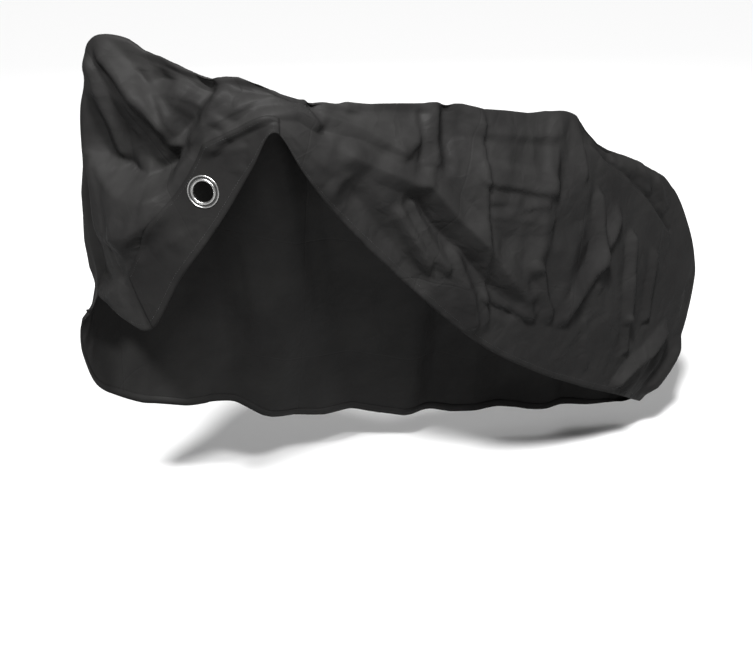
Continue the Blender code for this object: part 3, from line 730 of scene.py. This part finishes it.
def pressed_heights(tree, place):
    """The lines where the cover was folded flat in its bag: a wide grid of thin creases."""
    split = add_node(tree, "SeparateXYZ", place)
    total = None
    for axis, start in PRESSED_STARTS.items():
        moved = math_node(tree, "SUBTRACT", split.outputs[axis], start)
        away = math_node(tree, "PINGPONG", moved, PRESSED_STEP / 2)
        line = add_node(tree, "MapRange", From_Max=PRESSED_WIDTH, To_Min=1.0, To_Max=0.0)
        line.interpolation_type = "SMOOTHSTEP"
        tree.links.new(away, line.inputs["Value"])
        height = line.outputs["Result"]
        total = height if total is None else math_node(tree, "ADD", total, height)
    return total


def cloth_material(name, dark, light, roughness, sheen, creased):
    """Coated polyester: fine weave, faint cloudiness, fine crumpling, and creases that are fainter
    on the far side."""
    mat, tree, shader = principled(name)
    place = add_node(tree, "TexCoord").outputs["Object"]
    cloth_map = add_node(tree, "UVMap")
    cloth_map.uv_map = CLOTH_MAP
    uv = cloth_map.outputs["UV"]
    cloud = add_node(tree, "TexNoise", place, Scale=6.0, Detail=6.0, Roughness=0.6).outputs["Fac"]
    tone = ramped(tree, cloud, dark, light, (0.35, 0.68))
    rub = mapped(tree, cloud, From_Min=0.3, From_Max=0.7,
                 To_Min=roughness - RUBBED, To_Max=roughness + RUBBED)
    tree.links.new(tone, shader.inputs["Base Color"])
    tree.links.new(rub, shader.inputs["Roughness"])
    shader.inputs["Sheen Weight"].default_value = sheen
    shader.inputs["Sheen Roughness"].default_value = 0.5
    shader.inputs["Specular IOR Level"].default_value = CLOTH_SPECULAR
    # weave: warp and weft as two crossed waves in the cloth's own coordinates
    waves = []
    for axis in "XY":
        wave = add_node(tree, "TexWave", uv, Scale=WEAVE_SCALE, Distortion=0.4)
        wave.bands_direction = axis
        waves.append(wave.outputs["Fac"])
    weave = math_node(tree, "MULTIPLY", *waves)
    crumple = add_node(tree, "TexNoise", place, Scale=38.0, Detail=5.0, Roughness=0.55)
    down = add_node(tree, "SeparateXYZ", uv).outputs["Y"]
    near = mapped(tree, down, From_Min=FAR_BLEND[0], From_Max=FAR_BLEND[1],
                  To_Min=FAR_CREASES)
    creases = math_node(tree, "MULTIPLY", crease_heights(tree, place), near)
    pressed = math_node(tree, "MULTIPLY", pressed_heights(tree, uv), PRESSED_DEPTH)
    creases = math_node(tree, "ADD", pressed, creases)
    normal = bumped(tree, weave, *BUMPS["weave"])
    normal = bumped(tree, crumple.outputs["Fac"], *BUMPS["crumple"], normal)
    normal = bumped(tree, creases, creased, CREASE_DISTANCE, normal)
    tree.links.new(normal, shader.inputs["Normal"])
    return mat


def metal_material(name, colour, roughness):
    """Metal plate with faint handling wear, a fine noise that darkens its colour and varies its
    roughness.
    """
    mat, tree, shader = principled(name)
    shader.inputs["Metallic"].default_value = 1.0
    place = add_node(tree, "TexCoord").outputs["Object"]
    wear = add_node(tree, "TexNoise", place, Scale=220.0, Detail=4.0).outputs["Fac"]
    worn = [c * METAL_WORN for c in colour]
    least, most = (roughness * share for share in METAL_RUBBED)
    tree.links.new(ramped(tree, wear, worn, colour), shader.inputs["Base Color"])
    tree.links.new(mapped(tree, wear, To_Min=least, To_Max=most), shader.inputs["Roughness"])
    return mat


# ---- camera, light and floor -------------------------------------------------------------------
def make_camera():
    """The camera: the view's angles turned into a rotation, a place and a lens."""
    azimuth, elevation, roll = (math.radians(a) for a in (VIEW_AZIMUTH, VIEW_ELEVATION, VIEW_ROLL))
    back = Vector((math.sin(azimuth) * math.cos(elevation),
                   -math.cos(azimuth) * math.cos(elevation), math.sin(elevation)))
    right = Vector((math.cos(azimuth), math.sin(azimuth), 0))
    up = back.cross(right)
    turned_right = right * math.cos(roll) + up * math.sin(roll)
    turned_up = up * math.cos(roll) - right * math.sin(roll)
    data = bpy.data.cameras.new("Camera")
    data.sensor_width = SENSOR_WIDTH
    data.lens = SENSOR_WIDTH * FOCAL_PIXELS / IMAGE_WIDTH
    data.shift_x = (IMAGE_WIDTH / 2 - VIEW_CENTRE[0]) / IMAGE_WIDTH
    data.shift_y = (VIEW_CENTRE[1] - IMAGE_HEIGHT / 2) / IMAGE_WIDTH
    camera = add_object("Camera", data)
    place = Vector(to_frame(VIEW_TARGET)) + back * VIEW_DISTANCE
    axes = Matrix((turned_right, turned_up, back)).transposed().to_4x4()
    camera.matrix_world = Matrix.Translation(place) @ axes
    bpy.context.scene.camera = camera


def make_floor():
    """A pale floor, which lights the cloth less than its looks say."""
    turns = ((-1, -1), (1, -1), (1, 1), (-1, 1))
    corners = [(x * FLOOR_HALF, y * FLOOR_HALF, -SADDLE[2]) for x, y in turns]
    mesh = bpy.data.meshes.new("floor")
    mesh.from_pydata(corners, [], [(0, 1, 2, 3)])
    floor = add_object("floor", mesh)
    mat, tree, shader = principled("floor paint")
    shader.inputs["Roughness"].default_value = 0.9
    seen = add_node(tree, "LightPath").outputs["Is Camera Ray"]
    paint = add_node(tree, "Mix")
    paint.data_type = "RGBA"
    paint.inputs["A"].default_value = FLOOR_LIT
    paint.inputs["B"].default_value = FLOOR_SEEN
    tree.links.new(seen, paint.inputs["Factor"])
    tree.links.new(paint.outputs["Result"], shader.inputs["Base Color"])
    mesh.materials.append(mat)


def make_lights():
    """A white world, a key light and two soft ones."""
    world = bpy.data.worlds.new("Studio")
    world.use_nodes = True
    tree = world.node_tree
    sky = tree.nodes["Background"]
    sky.inputs["Color"].default_value = (1, 1, 1, 1)
    seen = add_node(tree, "LightPath").outputs["Is Camera Ray"]
    strength = math_node(tree, "MAXIMUM", seen, SKY_LIGHT)
    tree.links.new(strength, sky.inputs["Strength"])
    bpy.context.scene.world = world
    sun = bpy.data.lights.new("key", "SUN")
    sun.energy = KEY_POWER
    sun.angle = KEY_ANGLE
    key = add_object("key", sun)
    key.rotation_euler = Vector(KEY_FROM).to_track_quat("Z", "Y").to_euler()
    for lamp in AREA_LIGHTS:
        data = bpy.data.lights.new(lamp.name, "AREA")
        data.shape = "DISK"
        data.size = lamp.size
        data.energy = lamp.power
        light = add_object(lamp.name, data)
        light.location = lamp.place
        aim = Vector(lamp.aim) - Vector(lamp.place)
        light.rotation_euler = aim.to_track_quat("-Z", "Y").to_euler()


# ---- the cover ---------------------------------------------------------------------------------
def make_cover(mat, ribs, points, uv):
    """The cover's cloth in one piece, notched where the band is sewn on."""
    keep = all_cells(points)
    inside = (ribs[:-1] > BAND_START) & (ribs[1:] < BAND_END)
    keep[inside, FAR_ROWS + NEAR_ROWS + 1:] = False
    cover = sheet_object("cover_cloth", points, keep, uv)
    thicken(cover, SHOWN_CLOTH)
    clad(cover, mat)
    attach(cover, "root")
    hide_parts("cover")
    return cover


def make_band(mat, points, uv):
    """The doubled band along the lifted hem, punched for the eyelet."""
    band = sheet_object("hem_band_cloth", points, all_cells(points), uv)
    thicken(band, BAND_CLOTH)
    centre, normal = eyelet_frame()
    bpy.ops.mesh.primitive_cylinder_add(
        vertices=PUNCH_STEPS, radius=BORE_RADIUS + NECK_WALL + NECK_GAP, depth=PUNCH_DEPTH,
        location=centre)
    punch = bpy.context.object
    punch.rotation_euler = Vector(normal).to_track_quat("Z", "Y").to_euler()
    bpy.context.view_layer.update()
    hole = band.modifiers.new("Eyelet hole", "BOOLEAN")
    hole.operation = "DIFFERENCE"
    hole.solver = "EXACT"
    hole.object = punch
    apply_modifiers(band)
    bpy.data.objects.remove(punch)
    clad(band, mat)
    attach(band, "root")
    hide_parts("hem_band")
    return band


def make_hem(name, points, normals, uv, mat):
    """The turned hem: a strip of cloth behind the hem's edge, as wide as the grid's part given."""
    inner = points - normals * (SHOWN_CLOTH / 2 + HEM_TURN / 2 + HEM_GAP)
    strip = sheet_object(name, inner, all_cells(points), uv)
    thicken(strip, HEM_TURN)
    clad(strip, mat)
    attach(strip, "root")


def make_stitches(name, lines, mat):
    """Stitches along lines of points, each line given with the normals of its cloth."""
    verts, faces = [], []
    for points, normals in lines:
        run = np.concatenate([[0], np.linalg.norm(np.diff(points, axis=0), axis=1).cumsum()])
        for start in np.arange(STITCH_STEP, run[-1] - STITCH_STEP, STITCH_STEP):
            ends = [start, start + STITCH_LENGTH / 2, start + STITCH_LENGTH]
            places = np.stack([np.interp(ends, run, points[:, k]) for k in range(3)], axis=1)
            up = np.array([np.interp(ends[1], run, normals[:, k]) for k in range(3)])
            across = np.cross(up, places[2] - places[0])
            across /= np.linalg.norm(across)
            first = len(verts)
            for place, share in zip(places, (STITCH_TIP, 1.0, STITCH_TIP)):
                half = across * STITCH_WIDTH / 2 * share
                verts += [place + half, place + up * STITCH_HEIGHT * share,
                          place - half, place - up * STITCH_ROOT]
            for ring in (first, first + 4):
                faces += [(ring + k, ring + (k + 1) % 4, ring + 4 + (k + 1) % 4, ring + 4 + k)
                          for k in range(4)]
            faces += [(first + 3, first + 2, first + 1, first),
                      tuple(first + 8 + k for k in range(4))]
    stitches = smooth_object(name, verts, faces, mat)
    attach(stitches, "root")


def make_sewing(points, band_points, band_part, normals, uv, mat, thread):
    """Turned hems behind the near and far edges, and the stitches of the hems and the band."""
    before, after = band_part[0].start, band_part[0].stop
    edges = {"far_turned_hem": (slice(None), slice(0, 2)),
             "near_turned_hem": (slice(after, None), slice(-3, None)),
             "nose_turned_hem": (slice(None, before), slice(-3, None))}
    for name, part in edges.items():
        make_hem(name, points[part], normals[part], uv[part], mat)
    face = points + normals * (SHOWN_CLOTH / 2)
    lines = [(face[part], normals[part])
             for part in ((slice(None), 1), (slice(after, None), -3), (slice(None, before), -3))]
    band_normals = normals[band_part]
    band_face = band_points + band_normals * BAND_CLOTH / 2
    lines += [(band_face[:, row], band_normals[:, row]) for row in BAND_STITCH_ROWS]
    lines += [(band_face[column, 1:-2], band_normals[column, 1:-2])
              for column in BAND_STITCH_COLUMNS]
    make_stitches("hem_stitching", lines, thread)


# ---- the eyelet --------------------------------------------------------------------------------
def turned_ring(name, profile, mat):
    """A ring turned about the eyelet's axis from a closed outline of (radius, height) points."""
    radius, height = np.array(profile).T
    angle = np.linspace(0, 2 * math.pi, RING_STEPS, endpoint=False)
    centre, normal = eyelet_frame()
    turn = Vector(normal).to_track_quat("Z", "Y").to_matrix()
    rings = [(r * math.cos(a), r * math.sin(a), h) for a in angle for r, h in zip(radius, height)]
    points = np.array(rings) @ np.array(turn).T + centre
    count = len(profile)
    faces = []
    for i in range(RING_STEPS):
        here, there = i * count, (i + 1) % RING_STEPS * count
        faces += [(there + k, there + (k + 1) % count, here + (k + 1) % count, here + k)
                  for k in range(count)]
    ring = smooth_object(name, points.tolist(), faces, mat)
    ring.data.set_sharp_from_angle(angle=SHARP_ANGLE)
    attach(ring, "root")
    return ring


def bead_points(bead, radius, seat):
    """Half a turn round a bead's middle, from its outer foot to its inner one."""
    return [(radius + bead.half * math.cos(a), seat + bead.base + bead.rise * math.sin(a))
            for a in ARC]


def make_eyelet(mat, painted_groove_shade):
    """The eyelet's face, with its rolled rim, groove and neck lip, and the washer behind; the
    groove's faces are painted dark as shade.
    """
    seat = BAND_CLOTH / 2 + SEAT_GAP
    neck = BORE_RADIUS + NECK_WALL
    back = -seat - FLANGE_THICK
    rim, lip = FLANGE_RADIUS - RIM.half, BORE_RADIUS + LIP.half
    face = [(neck, back + NECK_FOOT), (neck, seat), (FLANGE_RADIUS - FLANGE_UNDERCUT, seat)]
    face += bead_points(RIM, rim, seat)
    groove = len(face)
    face += [(rim - RIM.half - GROOVE_SIDES[0], seat + GROOVE_FLOOR),
             (lip + LIP.half + GROOVE_SIDES[1], seat + GROOVE_FLOOR)]
    face += bead_points(LIP, lip, seat)
    face += [(BORE_RADIUS, back + NECK_CHAMFER[1]), (BORE_RADIUS + NECK_CHAMFER[0], back)]
    ring = turned_ring("eyelet_metal", face, mat)
    # The groove's faces take the near-black plate: painted shade and a painted reflection of the
    # dark cloth in the recess.
    ring.data.materials.append(painted_groove_shade)
    for i, polygon in enumerate(ring.data.polygons):
        polygon.material_index = int(groove - 1 <= i % len(face) <= groove + 1)
    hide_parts("eyelet")
    inner = neck + SEAT_GAP
    across, along_axis = WASHER_ROLL
    outline = [(inner, back), (inner, -seat), (WASHER_RADIUS, -seat)]
    outline += [(WASHER_RADIUS - across + across * math.cos(a),
                 back + along_axis - along_axis * math.sin(a)) for a in ARC]
    washer = turned_ring("eyelet_washer_metal", outline, mat)
    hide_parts("eyelet_washer")


bpy.context.scene.view_settings.view_transform = "Standard"
make_camera()
make_floor()
make_lights()
CLOTH_MAT = cloth_material("charcoal polyester", (0.0185, 0.0180, 0.0180),
                           (0.0290, 0.0285, 0.0280), roughness=0.52, sheen=0.0, creased=0.6)
# The band is the cover's own cloth, doubled; its colours are painted darker as shade.
SHADED_BAND_MAT = cloth_material("charcoal band", (0.0146, 0.0142, 0.0142),
                          (0.0200, 0.0196, 0.0192), roughness=0.52, sheen=0.0, creased=0.3)
STEEL = metal_material("nickel plate", (0.90, 0.90, 0.89), roughness=0.24)
THREAD = cloth_material("black thread", (0.010, 0.010, 0.010),
                        (0.016, 0.016, 0.016), roughness=0.6, sheen=0.2, creased=0.2)
# A near-black plate for the eyelet's groove: painted shade and a painted reflection of the dark
# cloth, not a tarnish.
PAINTED_GROOVE_SHADE = metal_material("plate painted dark as shade in the groove", (0.10, 0.10, 0.10), roughness=0.5)
RIB_LINES, RIB, DROP = cloth_grid()
OUT = outward(RIB, DROP)
FLAT = drape(RIB, DROP)
CLOTH_UV = np.stack(cloth_places(FLAT), axis=-1)
LAID = folded(RIB, DROP) + crumpled(RIB, DROP, FLAT)
LAID[..., 2] += ridge_lift(RIB, DROP)
COVER_POINTS = stiffened(LAID, BAND_LIFT)
BAND_PART = (slice(np.searchsorted(RIB_LINES, BAND_START) - BAND_PAST,
                   np.searchsorted(RIB_LINES, BAND_END) + BAND_PAST),
             slice(FAR_ROWS + NEAR_ROWS, None))
BAND_POINTS = stiffened((LAID + OUT * BAND_LIFT)[BAND_PART], 0.0)
cover = make_cover(CLOTH_MAT, RIB_LINES, COVER_POINTS, CLOTH_UV)
band = make_band(SHADED_BAND_MAT, BAND_POINTS, CLOTH_UV[BAND_PART])
make_sewing(COVER_POINTS, BAND_POINTS, BAND_PART, OUT, CLOTH_UV, CLOTH_MAT, THREAD)
make_eyelet(STEEL, PAINTED_GROOVE_SHADE)
